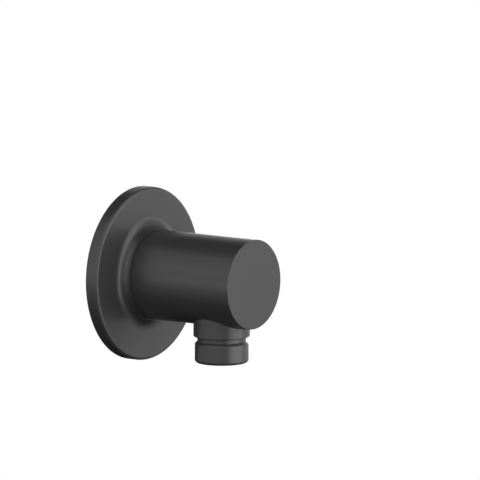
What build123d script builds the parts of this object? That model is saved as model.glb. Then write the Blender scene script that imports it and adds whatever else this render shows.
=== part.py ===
from build123d import *
import math
import os

# Wall outlet elbow for a shower hose: a turned barrel that stands straight out of a round wall
# flange, with a stub below it that carries the hose thread.
# All sizes are millimetres. The origin is the centre of the flange's back, on the finished wall.
# +Y goes into the wall, so the fitting stands out along -Y. +Z is up, and the outlet points down.
# "Distance" means the distance out of the wall. Pieces on the outlet's axis are given by height,
# which is negative below the barrel's axis.

# Threads, drawn over their crests
pipe_thread_diameter = 20.955
grub_thread_diameter = 5.0
thread_clearance = 0.04
pipe_thread_chamfer = 0.9

# Barrel
barrel_diameter = 35.0
barrel_front_distance = 56.3
barrel_back_distance = 0.5
barrel_front_edge_radius = 0.2
barrel_back_chamfer = 0.5

# Outlet stub, turned under the barrel
outlet_distance = 40.7
shoulder_diameter = 22.0
shoulder_end_drop = 3.8
shoulder_edge_radius = 0.2
groove_diameter = 18.95
groove_top_slope_length = 0.8
groove_floor_length = 1.2
hose_thread_length = 7.5
hose_thread_edge_radius = 1.35
saddle_radius = 0.4

# Waterway drilled through the body
inlet_waterway_diameter = 11.5
outlet_waterway_diameter = 11.0
drill_point_angle = 118.0
drill_overrun = 0.4

# Flange with its swept collar
flange_diameter = 67.8
flange_depth = 5.5
flange_edge_radius = 1.25
flange_back_edge_chamfer = 0.3
flange_face_thickness = 1.6
flange_rim_thickness = 1.8
collar_sweep_radius = 4.2
collar_lip_thickness = 0.3
collar_clearance = 0.2
hub_wall = 1.5
hub_back_distance = 1.0
flange_ring_distance = 3.3

# Seals: cord thickness before fitting, and the share of it that stays once squeezed
flange_ring_cord = 2.0
spigot_ring_cord = 2.0
valve_ring_cord = 1.5
squeezed_share = 0.8
groove_slack = 0.3
wall_seal_width = 4.5

# Wall nipple: thread behind the wall, spigot inside the body
nipple_thread_length = 14.0
nipple_relief_diameter = 18.4
nipple_relief_width = 1.8
nipple_shoulder_distance = 1.0
spigot_diameter = 22.0
spigot_clearance = 0.05
spigot_length = 26.5
spigot_front_chamfer = 0.8
spigot_end_gap = 0.5
socket_mouth_chamfer = 1.0
nipple_bore_diameter = 11.0
hexagon_flats = 12.0
hexagon_depth = 9.0
front_ring_setback = 3.0
spigot_ring_spacing = 4.2
lock_groove_depth = 1.8
lock_groove_floor_width = 2.4

# Grub screw that locks the body on the nipple, from below
grub_distance = 14.0
grub_recess = 0.6
grub_key_flats = 2.5
grub_key_depth = 2.6
grub_edge_chamfer = 0.6
grub_tip_diameter = 2.2

# Non-return valve cartridge in the outlet's bore
cartridge_diameter = 15.0
cartridge_clearance = 0.05
cartridge_length = 13.5
cartridge_recess = 0.8
outlet_mouth_chamfer = 0.4
cartridge_edge_chamfer = 0.3
valve_ring_setback = 2.2
valve_inlet_diameter = 8.4
valve_inlet_length = 3.4
valve_seat_angle = 45.0
valve_shell_thickness = 1.5
guide_ring_thickness = 0.9
guide_ring_length = 2.6
guide_rib_count = 3
guide_rib_width = 1.1
guide_rib_length = 2.0
guide_hub_diameter = 4.4
guide_hub_length = 4.2
stem_diameter = 2.4
stem_clearance = 0.05
stem_end_recess = 0.2
valve_travel = 2.4
poppet_head_diameter = 9.2
poppet_head_thickness = 1.1
poppet_neck_diameter = 6.0
poppet_cap_diameter = 7.4
poppet_cap_rise = 1.2
poppet_seal_thickness = 1.3
poppet_seat_gap = 0.05
spring_wire = 0.4
spring_turns = 4.5
spring_radial_play = 0.15

# How far a groove's outline runs past the surface it is cut in, and how close two places must
# lie to count as one
cut_overrun = 1.0
place_tolerance = 0.01

# Sizes that follow from the ones above
barrel_radius = barrel_diameter / 2
thread_radius = pipe_thread_diameter / 2
shoulder_end_height = -barrel_radius - shoulder_end_drop
groove_floor_top_height = shoulder_end_height - groove_top_slope_length
groove_floor_bottom_height = groove_floor_top_height - groove_floor_length
hose_thread_top_height = groove_floor_bottom_height - (pipe_thread_diameter - groove_diameter) / 2
outlet_end_height = hose_thread_top_height - hose_thread_length
collar_bore_radius = barrel_radius + collar_clearance
collar_lip_radius = collar_bore_radius + collar_lip_thickness
collar_front_distance = flange_depth + collar_sweep_radius
spigot_radius = spigot_diameter / 2
socket_radius = spigot_radius + spigot_clearance
socket_end_distance = spigot_length + spigot_end_gap
cartridge_radius = cartridge_diameter / 2
cartridge_bore_radius = cartridge_radius + cartridge_clearance
cartridge_bottom_height = outlet_end_height + cartridge_recess
cartridge_top_height = cartridge_bottom_height + cartridge_length
valve_bore_radius = cartridge_radius - valve_shell_thickness
seat_top_height = cartridge_top_height - valve_inlet_length
stem_radius = stem_diameter / 2
hub_hole_radius = stem_radius + stem_clearance

wall_axis = Axis.Y
outlet_axis = Axis((0, -outlet_distance, 0), (0, 0, 1))

# Turned outlines are drawn as (radius, distance) about the wall's axis,
# and as (radius, height) about the outlet's axis.
wall_axis_outline = Plane(origin=(0, 0, 0), x_dir=(1, 0, 0), z_dir=(0, 0, -1))
outlet_axis_outline = Plane(origin=(0, -outlet_distance, 0), x_dir=(1, 0, 0), z_dir=(0, -1, 0))


def turned_on_wall_axis(outline):
    """A piece turned about the barrel's axis, from an outline in radius and distance."""
    return revolve(wall_axis_outline * outline, wall_axis)


def turned_on_outlet_axis(outline):
    """A piece turned about the outlet's axis, from an outline in radius and height."""
    return revolve(outlet_axis_outline * outline, outlet_axis)


def polygon_outline(*points):
    """A closed straight-sided outline."""
    return make_face(Polyline(*points, close=True))


def band_outline(inner_radius, outer_radius, low, high):
    """A rectangular outline between two radii and two places along the axis."""
    return polygon_outline(
        (inner_radius, low),
        (outer_radius, low),
        (outer_radius, high),
        (inner_radius, high),
    )


def squeezed_height(cord):
    """Height of a seal ring's section once it is squeezed between its groove and its wall."""
    return cord * squeezed_share


def squeezed_width(cord):
    """Width that keeps the round cord's area when its section is squeezed flat on two sides."""
    height = squeezed_height(cord)
    round_area = math.pi * cord ** 2 / 4
    end_area = math.pi * height ** 2 / 4
    return height + (round_area - end_area) / height


def groove_length(cord):
    """Length of the groove that a squeezed ring lies in."""
    return squeezed_width(cord) + groove_slack


def ring_section(inner_radius, cord, place):
    """Section of a squeezed ring: flat where it seals, round at its two ends."""
    height = squeezed_height(cord)
    slot = SlotOverall(squeezed_width(cord), height, rotation=90)
    return Pos(inner_radius + height / 2, place) * slot


def filleted_corner(outline, radius_place, axis_place, fillet_radius):
    """The outline with the corner nearest to the given place rounded."""
    corner = min(outline.vertices(), key=lambda v: math.hypot(v.X - radius_place, v.Y - axis_place))
    return fillet(corner, fillet_radius)


def chamfered_corner(outline, radius_place, axis_place, size):
    """The outline with the corner nearest to the given place chamfered."""
    corner = min(outline.vertices(), key=lambda v: math.hypot(v.X - radius_place, v.Y - axis_place))
    return chamfer(corner, size)


def cover_flange():
    """Round wall flange: a hollow dish with a rim, a hub for the grip ring and a swept collar."""
    rim_radius = flange_diameter / 2
    rim_inner_radius = rim_radius - flange_rim_thickness
    sweep_start_radius = collar_lip_radius + collar_sweep_radius
    under_face_distance = flange_depth - flange_face_thickness
    ring_groove_radius = barrel_radius + squeezed_height(flange_ring_cord)
    hub_radius = ring_groove_radius + hub_wall
    back = Polyline(
        (collar_lip_radius, collar_front_distance),
        (collar_bore_radius, collar_front_distance),
        (collar_bore_radius, hub_back_distance),
        (hub_radius, hub_back_distance),
        (hub_radius, under_face_distance),
        (rim_inner_radius, under_face_distance),
        (rim_inner_radius, 0),
        (rim_radius, 0),
        (rim_radius, flange_depth),
        (sweep_start_radius, flange_depth),
    )
    sweep = RadiusArc(
        (sweep_start_radius, flange_depth),
        (collar_lip_radius, collar_front_distance),
        collar_sweep_radius,
    )
    outline = make_face([*back.edges(), sweep])
    outline = filleted_corner(outline, rim_radius, flange_depth, flange_edge_radius)
    outline = chamfered_corner(outline, rim_radius, 0, flange_back_edge_chamfer)
    half_groove = groove_length(flange_ring_cord) / 2
    outline -= band_outline(
        collar_bore_radius - cut_overrun,
        ring_groove_radius,
        flange_ring_distance - half_groove,
        flange_ring_distance + half_groove,
    )
    return turned_on_wall_axis(outline)


def flange_o_ring():
    """Grip ring between the hub's groove and the barrel."""
    return turned_on_wall_axis(ring_section(barrel_radius, flange_ring_cord, flange_ring_distance))


def wall_seal_ring():
    """Soft ring in the flange's hollow back, flush with the wall."""
    outer_radius = flange_diameter / 2 - flange_rim_thickness
    under_face_distance = flange_depth - flange_face_thickness
    inner_radius = outer_radius - wall_seal_width
    return turned_on_wall_axis(band_outline(inner_radius, outer_radius, 0, under_face_distance))


def barrel():
    """Plain barrel with a crisp front edge."""
    outline = band_outline(0, barrel_radius, barrel_back_distance, barrel_front_distance)
    outline = filleted_corner(outline, barrel_radius, barrel_front_distance, barrel_front_edge_radius)
    outline = chamfered_corner(outline, barrel_radius, barrel_back_distance, barrel_back_chamfer)
    return turned_on_wall_axis(outline)


def outlet_stub():
    """Shoulder, thread run-out groove and hose thread below the barrel, drawn over the crests."""
    shoulder_radius = shoulder_diameter / 2
    groove_radius = groove_diameter / 2
    outline = polygon_outline(
        (0, 0),
        (shoulder_radius, 0),
        (shoulder_radius, shoulder_end_height),
        (groove_radius, groove_floor_top_height),
        (groove_radius, groove_floor_bottom_height),
        (thread_radius, hose_thread_top_height),
        (thread_radius, outlet_end_height),
        (0, outlet_end_height),
    )
    outline = filleted_corner(outline, shoulder_radius, shoulder_end_height, shoulder_edge_radius)
    outline = filleted_corner(outline, thread_radius, outlet_end_height, hose_thread_edge_radius)
    return turned_on_outlet_axis(outline)


def inlet_bores():
    """Socket for the wall nipple, and the waterway drilled on to the outlet's axis."""
    waterway_radius = inlet_waterway_diameter / 2
    waterway_end = outlet_distance + outlet_waterway_diameter / 2 + drill_overrun
    drill_point_length = waterway_radius / math.tan(math.radians(drill_point_angle / 2))
    return turned_on_wall_axis(
        polygon_outline(
            (0, barrel_back_distance),
            (socket_radius + socket_mouth_chamfer, barrel_back_distance),
            (socket_radius, barrel_back_distance + socket_mouth_chamfer),
            (socket_radius, socket_end_distance),
            (waterway_radius, socket_end_distance),
            (waterway_radius, waterway_end),
            (0, waterway_end + drill_point_length),
        )
    )


def outlet_bores():
    """Seat for the valve cartridge, and the waterway drilled up into the barrel."""
    waterway_radius = outlet_waterway_diameter / 2
    return turned_on_outlet_axis(
        polygon_outline(
            (0, 0),
            (waterway_radius, 0),
            (waterway_radius, cartridge_top_height),
            (cartridge_bore_radius, cartridge_top_height),
            (cartridge_bore_radius, outlet_end_height + outlet_mouth_chamfer),
            (cartridge_bore_radius + outlet_mouth_chamfer, outlet_end_height),
            (0, outlet_end_height),
        )
    )


def grub_screw_hole():
    """Threaded hole from the barrel's underside into the nipple's socket."""
    depth = barrel_radius - socket_radius / 2
    middle_height = -(barrel_radius + socket_radius / 2) / 2
    hole = Cylinder(grub_thread_diameter / 2 + thread_clearance, depth)
    return Pos(0, -grub_distance, middle_height) * hole


def saddle_edges(body):
    """The edges where the shoulder's round side meets the barrel."""
    shoulder_radius = shoulder_diameter / 2

    def on_saddle(edge):
        middle = edge.position_at(0.5)
        from_outlet_axis = math.hypot(middle.X, middle.Y + outlet_distance)
        from_wall_axis = math.hypot(middle.X, middle.Z)
        on_shoulder = abs(from_outlet_axis - shoulder_radius) < place_tolerance
        on_barrel = abs(from_wall_axis - barrel_radius) < place_tolerance
        return on_shoulder and on_barrel and middle.Z < 0

    return [edge for edge in body.edges() if on_saddle(edge)]


def elbow_body():
    """Barrel and outlet stub in one piece, with the crossing waterways drilled through it."""
    body = barrel() + outlet_stub()
    body = fillet(saddle_edges(body), saddle_radius)
    return body - inlet_bores() - outlet_bores() - grub_screw_hole()


def ring_distance(place_from_front):
    """Distance of a spigot ring, counted back from the spigot's front end."""
    return spigot_length - front_ring_setback - place_from_front * spigot_ring_spacing


def spigot_ring_groove(place_from_front):
    """Outline of one seal groove in the spigot."""
    middle = ring_distance(place_from_front)
    half_length = groove_length(spigot_ring_cord) / 2
    floor_radius = socket_radius - squeezed_height(spigot_ring_cord)
    return band_outline(floor_radius, spigot_radius + cut_overrun, middle - half_length, middle + half_length)


def lock_groove():
    """Outline of the sloped groove that the grub screw's tip pulls against."""
    floor_radius = spigot_radius - lock_groove_depth
    half_floor = lock_groove_floor_width / 2
    half_mouth = half_floor + lock_groove_depth
    return polygon_outline(
        (floor_radius, grub_distance - half_floor),
        (floor_radius, grub_distance + half_floor),
        (spigot_radius, grub_distance + half_mouth),
        (spigot_radius, grub_distance - half_mouth),
    )


def wall_nipple():
    """Brass nipple: thread behind the wall, grooved spigot in front, hexagon for its key inside."""
    bore_radius = nipple_bore_diameter / 2
    thread_front_distance = nipple_shoulder_distance - nipple_relief_width
    outline = polygon_outline(
        (bore_radius, -nipple_thread_length),
        (thread_radius - pipe_thread_chamfer, -nipple_thread_length),
        (thread_radius, -nipple_thread_length + pipe_thread_chamfer),
        (thread_radius, thread_front_distance),
        (nipple_relief_diameter / 2, thread_front_distance),
        (nipple_relief_diameter / 2, nipple_shoulder_distance),
        (spigot_radius, nipple_shoulder_distance),
        (spigot_radius, spigot_length - spigot_front_chamfer),
        (spigot_radius - spigot_front_chamfer, spigot_length),
        (bore_radius, spigot_length),
    )
    outline -= spigot_ring_groove(0)
    outline -= spigot_ring_groove(1)
    outline -= lock_groove()
    nipple = turned_on_wall_axis(outline)
    key_plane = Plane(origin=(0, -spigot_length, 0), x_dir=(1, 0, 0), z_dir=(0, 1, 0))
    hexagon = RegularPolygon(hexagon_flats / 2, 6, major_radius=False)
    return nipple - extrude(key_plane * hexagon, hexagon_depth)


def spigot_o_ring(place_from_front):
    """Seal ring between the spigot's groove and the body's socket."""
    floor_radius = socket_radius - squeezed_height(spigot_ring_cord)
    return turned_on_wall_axis(ring_section(floor_radius, spigot_ring_cord, ring_distance(place_from_front)))


def grub_screw():
    """Headless screw: flat tip on the lock groove's floor, hexagon for its key at the lower end."""
    thread = grub_thread_diameter / 2
    tip = grub_tip_diameter / 2
    top_height = -(spigot_radius - lock_groove_depth)
    bottom_height = -barrel_radius + grub_recess
    screw_axis = Axis((0, -grub_distance, 0), (0, 0, 1))
    outline_plane = Plane(origin=(0, -grub_distance, 0), x_dir=(1, 0, 0), z_dir=(0, -1, 0))
    outline = polygon_outline(
        (0, top_height),
        (tip, top_height),
        (thread, top_height - (thread - tip)),
        (thread, bottom_height + grub_edge_chamfer),
        (thread - grub_edge_chamfer, bottom_height),
        (0, bottom_height),
    )
    screw = revolve(outline_plane * outline, screw_axis)
    key_plane = Plane(origin=(0, -grub_distance, bottom_height), x_dir=(1, 0, 0), z_dir=(0, 0, 1))
    hexagon = RegularPolygon(grub_key_flats / 2, 6, major_radius=False)
    return screw - extrude(key_plane * hexagon, grub_key_depth)


def valve_housing():
    """Shell of the valve cartridge: inlet and sloped seat at the top, open at the bottom."""
    seat_slope = math.tan(math.radians(valve_seat_angle))
    inlet_radius = valve_inlet_diameter / 2
    seat_end_height = seat_top_height - (valve_bore_radius - inlet_radius) / seat_slope
    outline = polygon_outline(
        (inlet_radius, cartridge_top_height),
        (cartridge_radius - cartridge_edge_chamfer, cartridge_top_height),
        (cartridge_radius, cartridge_top_height - cartridge_edge_chamfer),
        (cartridge_radius, cartridge_bottom_height),
        (valve_bore_radius, cartridge_bottom_height),
        (valve_bore_radius, seat_end_height),
        (inlet_radius, seat_top_height),
    )
    ring_height = cartridge_top_height - valve_ring_setback
    half_length = groove_length(valve_ring_cord) / 2
    floor_radius = cartridge_bore_radius - squeezed_height(valve_ring_cord)
    outline -= band_outline(
        floor_radius,
        cartridge_radius + cut_overrun,
        ring_height - half_length,
        ring_height + half_length,
    )
    return turned_on_outlet_axis(outline)


def valve_o_ring():
    """Seal ring between the cartridge and the outlet's bore."""
    floor_radius = cartridge_bore_radius - squeezed_height(valve_ring_cord)
    ring_height = cartridge_top_height - valve_ring_setback
    return turned_on_outlet_axis(ring_section(floor_radius, valve_ring_cord, ring_height))


def valve_guide():
    """Cage in the housing's mouth: outer ring, radial ribs and a hub for the poppet's stem."""
    hub_radius = guide_hub_diameter / 2
    ring_inner_radius = valve_bore_radius - guide_ring_thickness
    bottom = cartridge_bottom_height
    ring = turned_on_outlet_axis(
        band_outline(ring_inner_radius, valve_bore_radius, bottom, bottom + guide_ring_length)
    )
    hub = turned_on_outlet_axis(band_outline(hub_hole_radius, hub_radius, bottom, bottom + guide_hub_length))
    rib_inner_radius = (hub_hole_radius + hub_radius) / 2
    rib_outer_radius = (ring_inner_radius + valve_bore_radius) / 2
    rib = Box(
        rib_outer_radius - rib_inner_radius,
        guide_rib_width,
        guide_rib_length,
        align=(Align.MIN, Align.CENTER, Align.MIN),
    )
    rib_places = PolarLocations(rib_inner_radius, guide_rib_count, start_angle=90)
    ribs = [Pos(0, -outlet_distance, bottom) * place * rib for place in rib_places]
    return ring + hub + ribs


def seal_contact_height(radius):
    """Height of the seat's slope at a radius, less the small gap that the closed seal leaves."""
    seat_slope = math.tan(math.radians(valve_seat_angle))
    return seat_top_height - (radius - valve_inlet_diameter / 2) / seat_slope - poppet_seat_gap


def poppet_head_top_height():
    """Top of the poppet's rim, just under the slope of the seat."""
    return seal_contact_height(poppet_head_diameter / 2) - poppet_seal_thickness / 2


def valve_poppet():
    """Mushroom-shaped valve: domed cap, neck for the seal, rim that takes the spring, long stem."""
    head_top = poppet_head_top_height()
    head_bottom = head_top - poppet_head_thickness
    stem_end = cartridge_bottom_height + valve_travel + stem_end_recess
    cap_bottom = head_top + poppet_seal_thickness
    cap_radius = poppet_cap_diameter / 2
    below_cap = Polyline(
        (0, cap_bottom + poppet_cap_rise),
        (0, stem_end),
        (stem_radius, stem_end),
        (stem_radius, head_bottom),
        (poppet_head_diameter / 2, head_bottom),
        (poppet_head_diameter / 2, head_top),
        (poppet_neck_diameter / 2, head_top),
        (poppet_neck_diameter / 2, cap_bottom),
        (cap_radius, cap_bottom),
    )
    dome_radius = (cap_radius ** 2 + poppet_cap_rise ** 2) / (2 * poppet_cap_rise)
    dome = RadiusArc((cap_radius, cap_bottom), (0, cap_bottom + poppet_cap_rise), -dome_radius)
    return turned_on_outlet_axis(make_face([*below_cap.edges(), dome]))


def poppet_seal():
    """Rubber ring round the poppet's neck, with a lip that follows the slope of the seat."""
    head_top = poppet_head_top_height()
    cap_bottom = head_top + poppet_seal_thickness
    neck_radius = poppet_neck_diameter / 2
    lip_radius = poppet_head_diameter / 2
    top_radius = lip_radius - poppet_seal_thickness / 2 * math.tan(math.radians(valve_seat_angle))
    return turned_on_outlet_axis(
        polygon_outline(
            (neck_radius, head_top),
            (lip_radius, head_top),
            (lip_radius, head_top + poppet_seal_thickness / 2),
            (top_radius, cap_bottom),
            (neck_radius, cap_bottom),
        )
    )


def valve_spring():
    """Coil spring round the guide's hub, from the ribs up to the poppet's rim."""
    seat_height = cartridge_bottom_height + guide_rib_length
    head_bottom = poppet_head_top_height() - poppet_head_thickness
    coil_radius = guide_hub_diameter / 2 + spring_radial_play + spring_wire / 2
    coil_height = head_bottom - seat_height - spring_wire
    path = Helix(coil_height / spring_turns, coil_height, coil_radius)
    start = path.position_at(0)
    section = Plane(origin=start, z_dir=path.tangent_at(0)) * Circle(spring_wire / 2)
    coil = sweep(section, path, is_frenet=True)
    return Pos(0, -outlet_distance, seat_height + spring_wire / 2) * coil


pieces = {
    "cover_flange": cover_flange(),
    "flange_o_ring": flange_o_ring(),
    "wall_seal_ring": wall_seal_ring(),
    "elbow_body": elbow_body(),
    "wall_nipple": wall_nipple(),
    "spigot_o_ring_front": spigot_o_ring(0),
    "spigot_o_ring_rear": spigot_o_ring(1),
    "grub_screw": grub_screw(),
    "valve_housing": valve_housing(),
    "valve_o_ring": valve_o_ring(),
    "valve_guide": valve_guide(),
    "valve_poppet": valve_poppet(),
    "poppet_seal": poppet_seal(),
    "valve_spring": valve_spring(),
}

os.makedirs("parts", exist_ok=True)
for name, piece in pieces.items():
    export_step(piece, f"parts/{name}.step")
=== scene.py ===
import math

import bmesh
import bpy
from mathutils import Matrix, Vector, noise


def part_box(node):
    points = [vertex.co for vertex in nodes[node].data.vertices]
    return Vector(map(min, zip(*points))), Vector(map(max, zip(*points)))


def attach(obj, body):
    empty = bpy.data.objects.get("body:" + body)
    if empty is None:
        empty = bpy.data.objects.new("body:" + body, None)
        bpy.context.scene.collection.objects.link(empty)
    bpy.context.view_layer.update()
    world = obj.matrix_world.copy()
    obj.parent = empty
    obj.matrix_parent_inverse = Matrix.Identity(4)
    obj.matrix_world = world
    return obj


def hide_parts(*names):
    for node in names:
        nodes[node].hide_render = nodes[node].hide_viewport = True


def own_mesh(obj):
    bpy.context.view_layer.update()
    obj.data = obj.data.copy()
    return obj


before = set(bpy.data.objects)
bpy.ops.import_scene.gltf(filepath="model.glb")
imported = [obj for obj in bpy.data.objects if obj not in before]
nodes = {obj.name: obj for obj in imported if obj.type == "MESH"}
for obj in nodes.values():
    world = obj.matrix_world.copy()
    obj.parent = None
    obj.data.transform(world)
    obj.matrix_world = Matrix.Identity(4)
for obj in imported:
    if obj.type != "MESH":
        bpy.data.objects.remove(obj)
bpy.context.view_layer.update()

# Wall outlet elbow for a shower hose, dressed piece by piece in the order in which it is fitted.
# Blender's unit is the metre; mm turns the sizes below, which are millimetres, into it.
mm = 0.001
scene = bpy.context.scene


# Wall nipple: bare brass bar, turned, with a G 1/2 thread that screws into the pipe fitting in the
# wall. Its spigot plugs into the barrel, and a hexagon key turns it from the front. The thread is cut
# here with its true profile.
pipe_thread_diameter = 20.955 * mm
pipe_thread_pitch = 1.814 * mm
pipe_thread_depth = 1.162 * mm
pipe_thread_flank_angle = math.radians(55)
nipple_thread_end = 14 * mm
nipple_relief_middle = 0.1 * mm
thread_root_share = 0.25
thread_overshoot_share = 0.06
thread_steps_per_turn = 72
merge_distance = 0.0005 * mm
crisp_edge_angle = math.radians(25)
tool_mark_spacing = 0.15 * mm
tool_mark_depth = 0.002 * mm
bare_metal_smoother_by = 0.08
bare_metal_rougher_by = 0.1
stain_patches_per_metre = 260.0
brass_colour = (0.56, 0.40, 0.17, 1)
tarnished_brass_colour = (0.40, 0.27, 0.11, 1)


def add_node(tree, kind, values=None, **settings):
    """A new node of a tree, with its settings, and its input sockets linked or set by name or number."""
    node = tree.nodes.new(kind)
    for setting, value in settings.items():
        setattr(node, setting, value)
    for socket, value in (values or {}).items():
        if isinstance(value, bpy.types.NodeSocket):
            tree.links.new(value, node.inputs[socket])
        else:
            node.inputs[socket].default_value = value
    return node


def calculate(tree, operation, first, second=0.0):
    """The result of a sum with one or two values, inside a tree."""
    return add_node(tree, "ShaderNodeMath", {0: first, 1: second}, operation=operation).outputs[0]


def length_of(tree, vector):
    """The length of a vector, inside a tree."""
    return add_node(tree, "ShaderNodeVectorMath", {0: vector}, operation="LENGTH").outputs["Value"]


def new_group(name, kind, inputs, outputs):
    """An empty node group with named sockets, and its input and output nodes."""
    group = bpy.data.node_groups.new(name, kind)
    for socket, socket_kind, value in inputs:
        made = group.interface.new_socket(socket, in_out="INPUT", socket_type=socket_kind)
        if value is not None:
            made.default_value = value
    for socket, socket_kind in outputs:
        group.interface.new_socket(socket, in_out="OUTPUT", socket_type=socket_kind)
    return group, group.nodes.new("NodeGroupInput"), group.nodes.new("NodeGroupOutput")


def turning_marks_group():
    """Fine rings that a lathe tool leaves round the Z axis of its vector, on sides and faces alike."""
    group, inside, outside = new_group(
        "turning_marks",
        "ShaderNodeTree",
        [("Vector", "NodeSocketVector", None), ("Spacing", "NodeSocketFloat", tool_mark_spacing)],
        [("Height", "NodeSocketFloat"), ("Shade", "NodeSocketFloat")],
    )
    part = add_node(group, "ShaderNodeSeparateXYZ", {0: inside.outputs["Vector"]})
    flat = add_node(group, "ShaderNodeCombineXYZ", {"X": part.outputs["X"], "Y": part.outputs["Y"]})
    radius = length_of(group, flat.outputs[0])
    outwards = calculate(group, "ADD", radius, part.outputs["Z"])
    inwards = calculate(group, "SUBTRACT", radius, part.outputs["Z"])
    rings = add_node(group, "ShaderNodeCombineXYZ", {"X": outwards, "Y": inwards})
    marks_per_metre = calculate(group, "DIVIDE", 1.0, inside.outputs["Spacing"])
    fine = add_node(
        group,
        "ShaderNodeTexNoise",
        {"Vector": rings.outputs[0], "Scale": marks_per_metre, "Detail": 2.0, "Roughness": 0.6},
    )
    blotch = add_node(
        group,
        "ShaderNodeTexNoise",
        {"Vector": inside.outputs["Vector"], "Scale": stain_patches_per_metre, "Detail": 3.0},
    )
    group.links.new(fine.outputs["Fac"], outside.inputs["Height"])
    group.links.new(blotch.outputs["Fac"], outside.inputs["Shade"])
    return group


turning_marks = turning_marks_group()


def shader_of(material):
    """The Principled shader of a material."""
    return material.node_tree.nodes["Principled BSDF"]


def new_material(name, colour, metallic, roughness):
    """A named Principled material."""
    material = bpy.data.materials.new(name)
    material.use_nodes = True
    material.diffuse_color = colour
    shader = shader_of(material)
    shader.inputs["Base Color"].default_value = colour
    shader.inputs["Metallic"].default_value = metallic
    shader.inputs["Roughness"].default_value = roughness
    return material


def range_of(tree, value, low, high, first=0.0, last=1.0):
    """A value that runs from low to high, while another runs from first to last."""
    return add_node(
        tree,
        "ShaderNodeMapRange",
        {"Value": value, "From Min": first, "From Max": last, "To Min": low, "To Max": high},
    ).outputs[0]


def colour_between(tree, value, low_colour, high_colour):
    """A colour between two others."""
    mixed = add_node(
        tree, "ShaderNodeMix", {"Factor": value, 6: low_colour, 7: high_colour}, data_type="RGBA"
    )
    return mixed.outputs[2]


def bump_from(tree, height, depth):
    """A normal from a height between 0 and 1, over a real depth in metres."""
    return add_node(
        tree, "ShaderNodeBump", {"Height": height, "Distance": depth, "Strength": 1.0}
    ).outputs["Normal"]


def turned_metal(name, colour, worn_colour, roughness, axis_place, axis_turn):
    """Bare metal with tool marks round a piece's own axis and a slightly uneven tint."""
    material = new_material(name, colour, 1.0, roughness)
    tree = material.node_tree
    shader = shader_of(material)
    place = add_node(tree, "ShaderNodeTexCoord")
    own_axis = add_node(
        tree,
        "ShaderNodeMapping",
        {"Vector": place.outputs["Object"], "Location": axis_place, "Rotation": axis_turn},
    )
    marks = add_node(tree, "ShaderNodeGroup", node_tree=turning_marks)
    tree.links.new(own_axis.outputs[0], marks.inputs["Vector"])
    shade = marks.outputs["Shade"]
    tree.links.new(colour_between(tree, shade, colour, worn_colour), shader.inputs["Base Color"])
    rough = range_of(tree, shade, roughness - bare_metal_smoother_by, roughness + bare_metal_rougher_by)
    tree.links.new(rough, shader.inputs["Roughness"])
    tree.links.new(bump_from(tree, marks.outputs["Height"], tool_mark_depth), shader.inputs["Normal"])
    return material


def end_tree(tree, geometry, material, outside):
    """The last nodes of a geometry tree: its material, real instances, and its output."""
    finished = add_node(tree, "GeometryNodeSetMaterial", {"Geometry": geometry, "Material": material})
    real = add_node(tree, "GeometryNodeRealizeInstances", {"Geometry": finished.outputs[0]})
    tree.links.new(real.outputs[0], outside.inputs["Geometry"])


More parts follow.
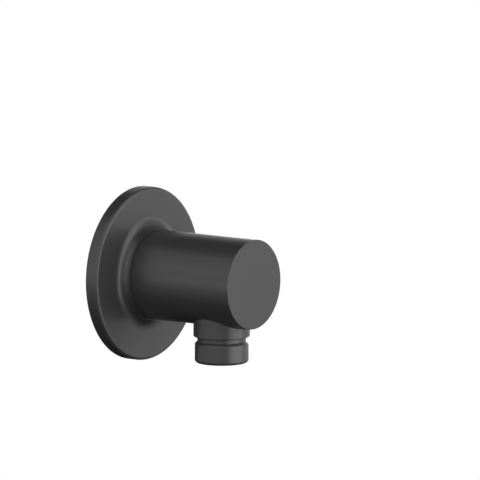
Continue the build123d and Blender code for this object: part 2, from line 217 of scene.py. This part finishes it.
def helical_thread_tree():
    """Cuts a thread into a solid that stands on its own Z axis, and shades what is left."""
    numbers = ("Crest Radius", "Pitch", "Depth", "Start", "Turns", "Flank Angle")
    inputs = [("Geometry", "NodeSocketGeometry", None), ("Material", "NodeSocketMaterial", None)]
    inputs += [(name, "NodeSocketFloat", 0.0) for name in numbers]
    inputs += [(name, "NodeSocketVector", None) for name in ("Placement Turn", "Placement")]
    tree, inside, outside = new_group(
        "helical_thread", "GeometryNodeTree", inputs, [("Geometry", "NodeSocketGeometry")]
    )
    value = inside.outputs
    rise = calculate(tree, "MULTIPLY", value["Pitch"], value["Turns"])
    helix = add_node(
        tree,
        "GeometryNodeCurveSpiral",
        {
            "Resolution": thread_steps_per_turn,
            "Rotations": value["Turns"],
            "Start Radius": value["Crest Radius"],
            "End Radius": value["Crest Radius"],
            "Height": rise,
        },
    )
    upright = add_node(tree, "GeometryNodeSetCurveNormal", {"Curve": helix.outputs[0]}, mode="Z_UP")

    # The groove's section: flat root a quarter of the pitch wide, flanks that open past the crest.
    overshoot = calculate(tree, "MULTIPLY", value["Depth"], thread_overshoot_share)
    section_height = calculate(tree, "ADD", value["Depth"], overshoot)
    half_angle = calculate(tree, "MULTIPLY", value["Flank Angle"], 0.5)
    flank_slope = calculate(tree, "TANGENT", half_angle)
    root_width = calculate(tree, "MULTIPLY", value["Pitch"], thread_root_share)
    widening = calculate(tree, "MULTIPLY", calculate(tree, "MULTIPLY", section_height, flank_slope), 2.0)
    mouth_width = calculate(tree, "ADD", root_width, widening)
    section = add_node(
        tree,
        "GeometryNodeCurvePrimitiveQuadrilateral",
        {"Bottom Width": root_width, "Top Width": mouth_width, "Offset": 0.0, "Height": section_height},
        mode="TRAPEZOID",
    )
    # The trapezium is drawn about its middle, so it moves in until its mouth clears the crest.
    inward = calculate(tree, "SUBTRACT", calculate(tree, "MULTIPLY", section_height, 0.5), overshoot)
    shift = add_node(tree, "ShaderNodeCombineXYZ", {"Y": calculate(tree, "MULTIPLY", inward, -1.0)})
    placed_section = add_node(
        tree,
        "GeometryNodeTransform",
        {"Geometry": section.outputs[0], "Translation": shift.outputs[0], "Rotation": (0, 0, math.pi / 2)},
    )
    cutter = add_node(
        tree,
        "GeometryNodeCurveToMesh",
        {"Curve": upright.outputs[0], "Profile Curve": placed_section.outputs[0], "Fill Caps": True},
    )
    start = add_node(tree, "ShaderNodeCombineXYZ", {"Z": value["Start"]})
    started = add_node(
        tree, "GeometryNodeTransform", {"Geometry": cutter.outputs[0], "Translation": start.outputs[0]}
    )
    turned = add_node(
        tree,
        "GeometryNodeTransform",
        {
            "Geometry": started.outputs[0],
            "Translation": value["Placement"],
            "Rotation": value["Placement Turn"],
        },
    )
    cut = add_node(
        tree,
        "GeometryNodeMeshBoolean",
        {"Mesh 1": value["Geometry"], "Mesh 2": turned.outputs[0]},
        operation="DIFFERENCE",
        solver="EXACT",
    )
    edge_angle = add_node(tree, "GeometryNodeInputMeshEdgeAngle")
    gentle = add_node(
        tree,
        "FunctionNodeCompare",
        {"A": edge_angle.outputs["Unsigned Angle"], "B": crisp_edge_angle},
        operation="LESS_THAN",
    )
    smooth = add_node(
        tree,
        "GeometryNodeSetShadeSmooth",
        {"Geometry": cut.outputs["Mesh"], "Shade Smooth": True},
        domain="FACE",
    )
    shaded = add_node(
        tree,
        "GeometryNodeSetShadeSmooth",
        {"Geometry": smooth.outputs[0], "Shade Smooth": gentle.outputs[0]},
        domain="EDGE",
    )
    end_tree(tree, shaded.outputs[0], value["Material"], outside)
    return tree


helical_thread = helical_thread_tree()


def merged_copy(node, name):
    """A new object with a node's mesh, its loose triangles joined into a closed skin."""
    mesh = bpy.data.meshes.new(name)
    skin = bmesh.new()
    skin.from_mesh(nodes[node].data)
    bmesh.ops.remove_doubles(skin, verts=skin.verts, dist=merge_distance)
    skin.to_mesh(mesh)
    skin.free()
    if "custom_normal" in mesh.attributes:
        mesh.attributes.remove(mesh.attributes["custom_normal"])
    piece = bpy.data.objects.new(name, mesh)
    scene.collection.objects.link(piece)
    return piece


def applied_tree(piece, tree, values):
    """The piece as a plain mesh, after a node tree with these inputs has shaped it."""
    modifier = piece.modifiers.new(tree.name, "NODES")
    modifier.node_group = tree
    sockets = {item.name: item.identifier for item in tree.interface.items_tree if item.in_out == "INPUT"}
    for socket, value in values.items():
        modifier[sockets[socket]] = value
    evaluated = piece.evaluated_get(bpy.context.evaluated_depsgraph_get())
    made = bpy.data.meshes.new_from_object(evaluated)
    piece.modifiers.remove(modifier)
    piece.data = made
    made.name = piece.name
    return piece


machined_brass = turned_metal(
    "machined_brass",
    brass_colour,
    tarnished_brass_colour,
    roughness=0.26,
    axis_place=(0, 0, 0),
    axis_turn=(math.pi / 2, 0, 0),
)
wall_nipple = applied_tree(
    merged_copy("wall_nipple", "wall_nipple_threaded"),
    helical_thread,
    {
        "Material": machined_brass,
        "Crest Radius": pipe_thread_diameter / 2,
        "Pitch": pipe_thread_pitch,
        "Depth": pipe_thread_depth,
        "Flank Angle": pipe_thread_flank_angle,
        "Start": nipple_relief_middle,
        "Turns": math.ceil((nipple_thread_end - nipple_relief_middle) / pipe_thread_pitch) + 0.5,
        "Placement": (0, 0, 0),
        "Placement Turn": (-math.pi / 2, 0, 0),
    },
)
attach(wall_nipple, "fitting")
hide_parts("wall_nipple")


# Spigot rings and the other seal rings: black rubber rings, moulded, squeezed into their grooves. Two
# seal the nipple's spigot, one grips the barrel in the flange, one seals the valve and one its poppet.
rubber_colour = (0.013, 0.013, 0.013, 1)
rubber_sheen_colour = (0.03, 0.03, 0.031, 1)
moulded_grains_per_metre = 3000.0
blotches_per_metre = 120.0
seal_rings = ("spigot_o_ring_front", "spigot_o_ring_rear", "flange_o_ring", "valve_o_ring", "poppet_seal")


def fine_grain_group():
    """A surface's fine grain, and the broad unevenness of its finish."""
    group, inside, outside = new_group(
        "fine_grain",
        "ShaderNodeTree",
        [
            ("Vector", "NodeSocketVector", None),
            ("Grains Per Metre", "NodeSocketFloat", moulded_grains_per_metre),
            ("Blotches Per Metre", "NodeSocketFloat", blotches_per_metre),
        ],
        [("Grain", "NodeSocketFloat"), ("Blotch", "NodeSocketFloat")],
    )
    grain = add_node(
        group,
        "ShaderNodeTexNoise",
        {"Vector": inside.outputs["Vector"], "Scale": inside.outputs["Grains Per Metre"], "Detail": 3.0},
    )
    blotch = add_node(
        group,
        "ShaderNodeTexNoise",
        {"Vector": inside.outputs["Vector"], "Scale": inside.outputs["Blotches Per Metre"], "Detail": 2.0},
    )
    group.links.new(grain.outputs["Fac"], outside.inputs["Grain"])
    group.links.new(blotch.outputs["Fac"], outside.inputs["Blotch"])
    return group


fine_grain = fine_grain_group()


def grained_material(
    name,
    colour,
    other_colour,
    roughness,
    roughness_spread,
    grain_depth,
    grains_per_metre=moulded_grains_per_metre,
):
    """A coated, moulded or painted finish: grain in its surface, a slow change in its colour and gloss."""
    material = new_material(name, colour, 0.0, roughness)
    tree = material.node_tree
    shader = shader_of(material)
    place = add_node(tree, "ShaderNodeTexCoord")
    grain = add_node(tree, "ShaderNodeGroup", node_tree=fine_grain)
    grain.inputs["Grains Per Metre"].default_value = grains_per_metre
    tree.links.new(place.outputs["Object"], grain.inputs["Vector"])
    blotch = grain.outputs["Blotch"]
    tree.links.new(colour_between(tree, blotch, colour, other_colour), shader.inputs["Base Color"])
    rough = range_of(tree, blotch, roughness - roughness_spread, roughness + roughness_spread)
    tree.links.new(rough, shader.inputs["Roughness"])
    tree.links.new(bump_from(tree, grain.outputs["Grain"], grain_depth), shader.inputs["Normal"])
    return material


def finish(node, material):
    """The CAD node's shape stays, with this material in place of its plain one."""
    for slot in nodes[node].material_slots:
        slot.material = material


seal_rubber = grained_material(
    "seal_rubber",
    rubber_colour,
    rubber_sheen_colour,
    roughness=0.55,
    roughness_spread=0.08,
    grain_depth=0.01 * mm,
)
for ring in seal_rings:
    finish(ring, seal_rubber)


# Elbow body: one brass casting, turned and drilled, with a satin black coating on its outside. Inside
# its bores the machined brass stays bare. The outlet's corners are as crisp as a lathe tool leaves them.
coating_colour = (0.035, 0.035, 0.0355, 1)
coating_blotch_colour = (0.033, 0.033, 0.0335, 1)
coating_grains_per_metre = 2500.0
bare_bore_roughness = 0.3
outlet_distance = 40.7 * mm
shoulder_radius = 11 * mm
shoulder_end = -21.3 * mm
corner_reach = 0.3 * mm
corner_rest = 0.25
groove_radius = 9.475 * mm
groove_floor_top = -22.1 * mm
groove_step_squaring = 0.75 * mm
hose_ring_top = -24.3025 * mm
hose_ring_edge_break = 0.2 * mm
edge_break_steps = 3
flat_face_weight = 100
place_tolerance = 0.02 * mm
socket_radius = 11.2 * mm
outlet_bore_radius = 7.65 * mm
outlet_bore_top = -17.5 * mm


def satin_black(name):
    """The satin black coating, sprayed thinly over metal."""
    return grained_material(
        name,
        coating_colour,
        coating_blotch_colour,
        roughness=0.35,
        roughness_spread=0.02,
        grain_depth=0.0015 * mm,
        grains_per_metre=coating_grains_per_metre,
    )


def distance_from_axis(tree, place, across, axis_place):
    """Distance of a point from an axis of the part, in the two directions across it."""
    kept = add_node(tree, "ShaderNodeVectorMath", {0: place, 1: across}, operation="MULTIPLY")
    moved = add_node(tree, "ShaderNodeVectorMath", {0: kept.outputs[0], 1: axis_place}, operation="SUBTRACT")
    return length_of(tree, moved.outputs[0])


def leave_bores_bare(material):
    """Bare machined brass where the surface lies inside the socket or the outlet's bore."""
    tree = material.node_tree
    shader = shader_of(material)
    place = add_node(tree, "ShaderNodeTexCoord").outputs["Object"]
    part = add_node(tree, "ShaderNodeSeparateXYZ", {0: place})
    from_wall_axis = distance_from_axis(tree, place, (1, 0, 1), (0, 0, 0))
    from_outlet_axis = distance_from_axis(tree, place, (1, 1, 0), (0, -outlet_distance, 0))
    round_socket = calculate(tree, "LESS_THAN", from_wall_axis, socket_radius)
    near_wall = calculate(tree, "GREATER_THAN", part.outputs["Y"], -outlet_distance - socket_radius)
    round_outlet = calculate(tree, "LESS_THAN", from_outlet_axis, outlet_bore_radius)
    low = calculate(tree, "LESS_THAN", part.outputs["Z"], outlet_bore_top + socket_radius)
    in_socket = calculate(tree, "MULTIPLY", round_socket, near_wall)
    in_outlet = calculate(tree, "MULTIPLY", round_outlet, low)
    bare = calculate(tree, "MAXIMUM", in_socket, in_outlet)
    coated_colour = shader.inputs["Base Color"].links[0].from_socket
    coated_roughness = shader.inputs["Roughness"].links[0].from_socket
    colour = colour_between(tree, bare, coated_colour, brass_colour)
    rough = add_node(
        tree,
        "ShaderNodeMix",
        {"Factor": bare, 2: coated_roughness, 3: bare_bore_roughness},
        data_type="FLOAT",
    )
    tree.links.new(colour, shader.inputs["Base Color"])
    tree.links.new(rough.outputs[0], shader.inputs["Roughness"])
    tree.links.new(bare, shader.inputs["Metallic"])


def on_ring_edge(vertex, radius, height):
    """Whether a point lies on the circle of this radius and height about the outlet's axis."""
    from_axis = math.hypot(vertex.co.x, vertex.co.y + outlet_distance)
    return abs(from_axis - radius) < place_tolerance and abs(vertex.co.z - height) < place_tolerance


def sharpen_corner(vertex, radius, height):
    """Draws a point of a small round towards the corner that it rounds off, at this radius and height."""
    out = Vector((vertex.co.x, vertex.co.y + outlet_distance, 0))
    from_axis = out.length
    reach = math.hypot(from_axis - radius, vertex.co.z - height)
    if 0 < reach < corner_reach:
        out = out.normalized() * (radius + (from_axis - radius) * corner_rest)
        vertex.co = (out.x, out.y - outlet_distance, height + (vertex.co.z - height) * corner_rest)


def finely_turned(piece):
    """Squares the step above the outlet's groove, and breaks the sharp edge of the hose ring below it."""
    skin = bmesh.new()
    skin.from_mesh(piece.data)
    for vertex in skin.verts:
        if on_ring_edge(vertex, groove_radius, groove_floor_top):
            vertex.co.z += groove_step_squaring
        sharpen_corner(vertex, shoulder_radius, shoulder_end)
    hose_ring_edge = [
        edge
        for edge in skin.edges
        if all(on_ring_edge(vertex, pipe_thread_diameter / 2, hose_ring_top) for vertex in edge.verts)
    ]
    bmesh.ops.bevel(
        skin,
        geom=hose_ring_edge,
        offset=hose_ring_edge_break,
        segments=edge_break_steps,
        profile=0.5,
        affect="EDGES",
    )
    skin.to_mesh(piece.data)
    skin.free()


def crisply_shaded(piece, material):
    """Smooth shading between sharp edges, which leaves flat faces flat, in one material."""
    skin = bmesh.new()
    skin.from_mesh(piece.data)
    for face in skin.faces:
        face.smooth = True
        face.material_index = 0
    for edge in skin.edges:
        edge.smooth = len(edge.link_faces) == 2 and edge.calc_face_angle() < crisp_edge_angle
    skin.to_mesh(piece.data)
    skin.free()
    piece.data.materials.clear()
    piece.data.materials.append(material)
    flat_faces = piece.modifiers.new("flat_faces", "WEIGHTED_NORMAL")
    flat_faces.mode = "FACE_AREA"
    flat_faces.weight = flat_face_weight
    flat_faces.keep_sharp = True


coated_casting = satin_black("coated_casting")
leave_bores_bare(coated_casting)
elbow_body = merged_copy("elbow_body", "elbow_body_turned")
finely_turned(elbow_body)
crisply_shaded(elbow_body, coated_casting)
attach(elbow_body, "fitting")
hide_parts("elbow_body")


# Grub screw: headless M5 screw of stainless steel, turned and threaded, driven up from below with a
# small hexagon key.
grub_thread_diameter = 5 * mm
grub_thread_pitch = 0.8 * mm
grub_thread_depth = 0.43 * mm
grub_thread_flank_angle = math.radians(60)
steel_colour = (0.56, 0.56, 0.55, 1)
dull_steel_colour = (0.40, 0.40, 0.40, 1)

grub_low, grub_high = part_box("grub_screw")
grub_middle = (grub_low + grub_high) / 2
turned_steel = turned_metal(
    "turned_steel",
    steel_colour,
    dull_steel_colour,
    roughness=0.28,
    axis_place=(0, -grub_middle.y, 0),
    axis_turn=(0, 0, 0),
)
grub_screw = applied_tree(
    merged_copy("grub_screw", "grub_screw_threaded"),
    helical_thread,
    {
        "Material": turned_steel,
        "Crest Radius": grub_thread_diameter / 2,
        "Pitch": grub_thread_pitch,
        "Depth": grub_thread_depth,
        "Flank Angle": grub_thread_flank_angle,
        "Start": grub_low.z - grub_thread_pitch,
        "Turns": math.ceil((grub_high.z - grub_low.z) / grub_thread_pitch) + 2.0,
        "Placement": (0, grub_middle.y, 0),
        "Placement Turn": (0, 0, 0),
    },
)
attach(grub_screw, "fitting")
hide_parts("grub_screw")


# Valve cartridge: housing and cage moulded in white plastic, poppet in blue plastic. The cartridge is
# pushed up into the outlet's bore, and the cage snaps into its mouth.
white_plastic_colour = (0.74, 0.74, 0.71, 1)
white_plastic_shade = (0.66, 0.66, 0.63, 1)
blue_plastic_colour = (0.030, 0.105, 0.36, 1)
blue_plastic_shade = (0.022, 0.080, 0.29, 1)
plastic_roughness_spread = 0.06
plastic_grain_depth = 0.004 * mm

valve_plastic = grained_material(
    "valve_plastic",
    white_plastic_colour,
    white_plastic_shade,
    roughness=0.38,
    roughness_spread=plastic_roughness_spread,
    grain_depth=plastic_grain_depth,
)
poppet_plastic = grained_material(
    "poppet_plastic",
    blue_plastic_colour,
    blue_plastic_shade,
    roughness=0.34,
    roughness_spread=plastic_roughness_spread,
    grain_depth=plastic_grain_depth,
)
finish("valve_housing", valve_plastic)
finish("valve_guide", valve_plastic)
valve_poppet = merged_copy("valve_poppet", "valve_poppet_moulded")
crisply_shaded(valve_poppet, poppet_plastic)
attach(valve_poppet, "valve")
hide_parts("valve_poppet")


# Valve spring: stainless wire wound round the cage's hub, with a closed coil at each end. It pushes
# the poppet up against its seat.
spring_wire = 0.4 * mm
spring_active_turns = 3.5
spring_end_turns = 1.0
spring_curve_points = 360
spring_section_sides = 16
closed_coil_rise_in_wires = 1.02
spring_low, spring_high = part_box("valve_spring")


def compression_spring_tree():
    """A helix of wire that rises evenly between two closed end coils."""
    tree, inside, outside = new_group(
        "compression_spring",
        "GeometryNodeTree",
        [
            ("Geometry", "NodeSocketGeometry", None),
            ("Coil Radius", "NodeSocketFloat", 0.0),
            ("Wire", "NodeSocketFloat", 0.0),
            ("Height", "NodeSocketFloat", 0.0),
            ("Turns", "NodeSocketFloat", 0.0),
            ("End Turns", "NodeSocketFloat", 0.0),
            ("Foot", "NodeSocketVector", None),
            ("Material", "NodeSocketMaterial", None),
        ],
        [("Geometry", "NodeSocketGeometry")],
    )
    value = inside.outputs
    line = add_node(tree, "GeometryNodeCurvePrimitiveLine")
    points = add_node(
        tree, "GeometryNodeResampleCurve", {"Curve": line.outputs[0], "Count": spring_curve_points}
    )
    along = add_node(tree, "GeometryNodeSplineParameter").outputs["Factor"]
    turn = calculate(tree, "MULTIPLY", calculate(tree, "MULTIPLY", along, value["Turns"]), 2 * math.pi)
    end_share = calculate(tree, "DIVIDE", value["End Turns"], value["Turns"])
    closed_pitch = calculate(tree, "MULTIPLY", value["Wire"], closed_coil_rise_in_wires)
    end_height = calculate(tree, "MULTIPLY", closed_pitch, value["End Turns"])
    wire_radius = calculate(tree, "MULTIPLY", value["Wire"], 0.5)
    first_end_top = calculate(tree, "ADD", wire_radius, end_height)
    first_end = range_of(tree, along, wire_radius, first_end_top, last=end_share)
    last_end_start = calculate(tree, "SUBTRACT", 1.0, end_share)
    both_ends = calculate(tree, "MULTIPLY", end_height, 2.0)
    full_rise = calculate(tree, "SUBTRACT", value["Height"], value["Wire"])
    open_rise = calculate(tree, "SUBTRACT", full_rise, both_ends)
    middle = range_of(tree, along, 0.0, open_rise, first=end_share, last=last_end_start)
    last_end = range_of(tree, along, 0.0, end_height, first=last_end_start)
    height = calculate(tree, "ADD", calculate(tree, "ADD", first_end, middle), last_end)
    coil_place = add_node(
        tree,
        "ShaderNodeCombineXYZ",
        {
            "X": calculate(tree, "MULTIPLY", calculate(tree, "COSINE", turn), value["Coil Radius"]),
            "Y": calculate(tree, "MULTIPLY", calculate(tree, "SINE", turn), value["Coil Radius"]),
            "Z": height,
        },
    )
    seated = add_node(
        tree, "ShaderNodeVectorMath", {0: coil_place.outputs[0], 1: value["Foot"]}, operation="ADD"
    )
    coil = add_node(
        tree, "GeometryNodeSetPosition", {"Geometry": points.outputs[0], "Position": seated.outputs[0]}
    )
    section = add_node(
        tree, "GeometryNodeCurvePrimitiveCircle", {"Resolution": spring_section_sides, "Radius": wire_radius}
    )
    wire = add_node(
        tree,
        "GeometryNodeCurveToMesh",
        {"Curve": coil.outputs[0], "Profile Curve": section.outputs[0], "Fill Caps": True},
    )
    smooth = add_node(
        tree, "GeometryNodeSetShadeSmooth", {"Geometry": wire.outputs[0], "Shade Smooth": True}
    )
    end_tree(tree, smooth.outputs[0], value["Material"], outside)
    return tree


def empty_piece(name):
    """A new object with no mesh yet, for a node tree to fill."""
    piece = bpy.data.objects.new(name, bpy.data.meshes.new(name))
    scene.collection.objects.link(piece)
    return piece


spring_steel = grained_material(
    "spring_steel",
    steel_colour,
    dull_steel_colour,
    roughness=0.22,
    roughness_spread=0.05,
    grain_depth=0.002 * mm,
)
shader_of(spring_steel).inputs["Metallic"].default_value = 1.0
spring_length = spring_high.z - spring_low.z
valve_spring = applied_tree(
    empty_piece("valve_spring_coil"),
    compression_spring_tree(),
    {
        "Coil Radius": (spring_high.x - spring_low.x - spring_wire) / 2,
        "Wire": spring_wire,
        "Height": spring_length,
        "Turns": spring_active_turns + 2 * spring_end_turns,
        "End Turns": spring_end_turns,
        "Foot": (0, -outlet_distance, spring_low.z),
        "Material": spring_steel,
    },
)
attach(valve_spring, "fitting")
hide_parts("valve_spring")
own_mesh(valve_spring)


# Cover flange: turned brass with a swept collar and the same satin black coating all over. It slides
# over the barrel and is held by the grip ring in its hub.
coated_turning = satin_black("coated_turning")
finish("cover_flange", coated_turning)


# Wall seal ring: soft closed-cell foam, die-cut from a sheet, pressed into the flange's hollow back.
# Its edges are slightly rounded, and its skin shows cut cells with painted shade in their hollows.
foam_colour = (0.030, 0.030, 0.032, 1)
# Colour of the cells' hollows: painted shade, darker than the foam itself.
foam_cell_painted_shade_colour = (0.008, 0.008, 0.009, 1)
foam_ring_width = 4.5 * mm
foam_edge_radius = 0.5 * mm
foam_unevenness = 0.05 * mm
foam_segments = 240
foam_edge_steps = 4
foam_waves_per_metre = 900
foam_seed = 1
foam_cells_per_metre = 2600.0
foam_cell_depth = 0.12 * mm
seal_low, seal_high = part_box("wall_seal_ring")


def foam_section():
    """Rounded rectangle, as pairs of radius and place along the wall's axis, in order round it."""
    outer = seal_high.x - foam_unevenness
    inner = seal_high.x - foam_ring_width + foam_unevenness
    low, high = seal_low.y + foam_unevenness, seal_high.y - foam_unevenness
    corners = [(outer, low, -90), (outer, high, 0), (inner, high, 90), (inner, low, 180)]
    middle = Vector(((outer + inner) / 2, (low + high) / 2))
    section = []
    for radius, along, start in corners:
        corner = Vector((radius, along))
        inwards = Vector((math.copysign(1, middle.x - radius), math.copysign(1, middle.y - along)))
        centre = corner + inwards * foam_edge_radius
        for step in range(foam_edge_steps + 1):
            angle = math.radians(start + 90 * step / foam_edge_steps)
            section.append(centre + foam_edge_radius * Vector((math.cos(angle), math.sin(angle))))
    return section


def foam_ring_mesh():
    """The section swept round the wall's axis, with the small unevenness of cut foam."""
    mesh = bpy.data.meshes.new("wall_seal_foam")
    ring = bmesh.new()
    section = foam_section()
    noise.seed_set(foam_seed)
    loops = []
    for segment in range(foam_segments):
        turn = 2 * math.pi * segment / foam_segments
        loop = []
        for radius, along in section:
            place = Vector((radius * math.cos(turn), along, radius * math.sin(turn)))
            uneven = noise.noise_vector(place * foam_waves_per_metre) * foam_unevenness
            loop.append(ring.verts.new(place + uneven))
        loops.append(loop)
    for segment, loop in enumerate(loops):
        following = loops[(segment + 1) % foam_segments]
        for i, vertex in enumerate(loop):
            j = (i + 1) % len(loop)
            face = ring.faces.new((vertex, loop[j], following[j], following[i]))
            face.smooth = True
    bmesh.ops.recalc_face_normals(ring, faces=ring.faces)
    ring.to_mesh(mesh)
    ring.free()
    return mesh


soft_foam = new_material("soft_foam", foam_colour, metallic=0.0, roughness=0.85)
foam_tree = soft_foam.node_tree
foam_shader = shader_of(soft_foam)
foam_place = add_node(foam_tree, "ShaderNodeTexCoord")
foam_cells = add_node(
    foam_tree, "ShaderNodeTexVoronoi", {"Vector": foam_place.outputs["Object"], "Scale": foam_cells_per_metre}
)
# The cells' hollows are dented by the bump and also painted darker; the darker colour is painted shade.
cell_hollow_and_painted_shade = range_of(foam_tree, foam_cells.outputs["Distance"], 0.0, 1.0)
foam_tree.links.new(
    colour_between(foam_tree, cell_hollow_and_painted_shade, foam_cell_painted_shade_colour, foam_colour), foam_shader.inputs["Base Color"]
)
foam_tree.links.new(bump_from(foam_tree, cell_hollow_and_painted_shade, foam_cell_depth), foam_shader.inputs["Normal"])

wall_seal = bpy.data.objects.new("wall_seal_foam", foam_ring_mesh())
wall_seal.data.materials.append(soft_foam)
scene.collection.objects.link(wall_seal)
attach(wall_seal, "fitting")
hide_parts("wall_seal_ring")


# Studio: pale floor far below the wall fitting, seven soft lamps, a white surround, and three dark cards
# that only reflections see. Two leave a white band at the height of the part, and one stands across it
# behind the wall. A lamp's azimuth and elevation, and its half sizes, are degrees seen from the part.
floor_height = -2.2
floor_radius = 30.0
disc_segments = 96
floor_colour = (0.8, 0.8, 0.8, 1)
fill_strength = 0.05
card_height = 2.0
white_band_half_angle = math.radians(7)
back_card_span = (132, 172)
back_card_distance = 1.8
back_card_steps = 8
lamp_distance = 1.2
soft_lamps = {
    "front_lamp": {"towards": (11.7, 6.3), "half_size": (31.7, 38.1), "radiance": 2.42},
    "left_lamp": {"towards": (-90.2, 0.2), "half_size": (41.3, 41.3), "radiance": 0.50},
    "right_lamp": {"towards": (90.6, 6.8), "half_size": (40.2, 43.0), "radiance": 0.51},
    "upper_left_lamp": {"towards": (-87.0, 46.0), "half_size": (41.5, 31.5), "radiance": 1.09},
    "edge_lamp": {"towards": (113.9, 4.7), "half_size": (8.8, 13.9), "radiance": 4.00},
    "back_lamp": {"towards": (208.0, 4.0), "half_size": (20.0, 25.0), "radiance": 0.40},
    "low_lamp": {"towards": (20.0, -42.0), "half_size": (25.0, 15.0), "radiance": 0.40},
}


def direction(azimuth, elevation):
    """Unit vector from the part: azimuth 0 is straight out of the wall, elevation is above the horizon."""
    azimuth, elevation = math.radians(azimuth), math.radians(elevation)
    level = math.cos(elevation)
    return Vector((math.sin(azimuth) * level, -math.cos(azimuth) * level, math.sin(elevation)))


def seen_directly(tree):
    """1 for camera, glossy and transmission rays, which see the background's own white."""
    path = add_node(tree, "ShaderNodeLightPath").outputs
    seen_or_mirrored = calculate(tree, "MAXIMUM", path["Is Camera Ray"], path["Is Glossy Ray"])
    return calculate(tree, "MAXIMUM", seen_or_mirrored, path["Is Transmission Ray"])


def staged_sheet(name, skin, material):
    """A thin sheet of the studio, which isn't part of the object."""
    mesh = bpy.data.meshes.new(name)
    skin.to_mesh(mesh)
    skin.free()
    mesh.materials.append(material)
    sheet = bpy.data.objects.new(name, mesh)
    scene.collection.objects.link(sheet)
    return sheet


def staged_disc(name, radius, height, material):
    """A flat round sheet, level, facing up."""
    disc = bmesh.new()
    bmesh.ops.create_circle(disc, cap_ends=True, segments=disc_segments, radius=radius)
    bmesh.ops.translate(disc, verts=disc.verts, vec=(0, 0, height))
    return staged_sheet(name, disc, material)


def staged_wall(name, span, distance, half_height, material):
    """An upright sheet, curved round the part from one azimuth to another."""
    first, last = span
    wall = bmesh.new()
    columns = []
    for step in range(back_card_steps + 1):
        foot = direction(first + (last - first) * step / back_card_steps, 0) * distance
        rise = Vector((0, 0, distance * math.tan(half_height)))
        columns.append((wall.verts.new(foot - rise), wall.verts.new(foot + rise)))
    for near, far in zip(columns, columns[1:]):
        wall.faces.new((near[0], far[0], far[1], near[1]))
    return staged_sheet(name, wall, material)


def empty_material(name):
    """A material that has no nodes yet, for a sheet of the studio."""
    material = bpy.data.materials.new(name)
    material.use_nodes = True
    material.node_tree.nodes.clear()
    return material


pale_floor = empty_material("pale_floor")
floor_tree = pale_floor.node_tree
matt = add_node(floor_tree, "ShaderNodeBsdfDiffuse", {"Color": floor_colour})
glow = add_node(floor_tree, "ShaderNodeEmission", {"Color": (1, 1, 1, 1), "Strength": 1.0})
own_white = seen_directly(floor_tree)
lit = add_node(floor_tree, "ShaderNodeMixShader", {0: own_white, 1: matt.outputs[0], 2: glow.outputs[0]})
clear = add_node(floor_tree, "ShaderNodeBsdfTransparent")
below = add_node(floor_tree, "ShaderNodeNewGeometry").outputs["Backfacing"]
one_sided = add_node(floor_tree, "ShaderNodeMixShader", {0: below, 1: lit.outputs[0], 2: clear.outputs[0]})
add_node(floor_tree, "ShaderNodeOutputMaterial", {"Surface": one_sided.outputs[0]})
pale_floor.cycles.emission_sampling = "NONE"
staged_disc("floor", floor_radius, floor_height, pale_floor)

dark_card = empty_material("dark_card")
card_matt = add_node(dark_card.node_tree, "ShaderNodeBsdfDiffuse", {"Color": (0, 0, 0, 1)})
add_node(dark_card.node_tree, "ShaderNodeOutputMaterial", {"Surface": card_matt.outputs[0]})
cards = [
    staged_disc(name, card_height / math.tan(white_band_half_angle), height, dark_card)
    for name, height in (("upper_card", card_height), ("lower_card", -card_height))
]
cards.append(
    staged_wall("back_card", back_card_span, back_card_distance, 2 * white_band_half_angle, dark_card)
)
for card in cards:
    card.visible_camera = False
    card.visible_shadow = False
    card.visible_transmission = False
    card.visible_diffuse = False

world = bpy.data.worlds.new("studio")
world.use_nodes = True
scene.world = world
surround = world.node_tree.nodes["Background"]
surround.inputs["Color"].default_value = (1, 1, 1, 1)
world.cycles.sampling_method = "NONE"
world_strength = range_of(world.node_tree, seen_directly(world.node_tree), fill_strength, 1.0)
world.node_tree.links.new(world_strength, surround.inputs["Strength"])

for name, lamp in soft_lamps.items():
    light = bpy.data.lights.new(name, "AREA")
    light.shape = "RECTANGLE"
    half_width, half_height = (math.radians(half_angle) for half_angle in lamp["half_size"])
    light.size = 2 * lamp_distance * math.tan(half_width)
    light.size_y = 2 * lamp_distance * math.tan(half_height)
    light.energy = lamp["radiance"] * math.pi * light.size * light.size_y
    holder = bpy.data.objects.new(name, light)
    out = direction(*lamp["towards"])
    holder.location = out * lamp_distance
    holder.rotation_euler = out.to_track_quat("Z", "Y").to_euler()
    holder.visible_camera = False
    scene.collection.objects.link(holder)


# Camera: a long lens five metres away, a little above the fitting and well round to its left. Its place
# and aim come from comparing outlines with the photo.
camera_azimuth = -53.80
camera_elevation = 8.24
camera_roll = math.radians(-0.06)
camera_distance = 5.0005
camera_lens = 961.8
camera_sensor_width = 36
camera_clip_end = 100
aim_right = 39.97 * mm
aim_up = 12.606 * mm

towards_camera = direction(camera_azimuth, camera_elevation)
camera_turn = math.radians(camera_azimuth)
level_right = Vector((math.cos(camera_turn), math.sin(camera_turn), 0))
level_up = towards_camera.cross(level_right)
camera_right = level_right * math.cos(camera_roll) + level_up * math.sin(camera_roll)
camera_up = level_up * math.cos(camera_roll) - level_right * math.sin(camera_roll)
camera_place = towards_camera * camera_distance + camera_right * aim_right + camera_up * aim_up
lens = bpy.data.cameras.new("photo_camera")
lens.lens = camera_lens
lens.sensor_width = camera_sensor_width
lens.clip_end = camera_clip_end
camera = bpy.data.objects.new("photo_camera", lens)
scene.collection.objects.link(camera)
camera.matrix_world = Matrix.Translation(camera_place) @ Matrix(
    (camera_right, camera_up, towards_camera)
).transposed().to_4x4()
scene.camera = camera

scene.view_settings.view_transform = "Standard"
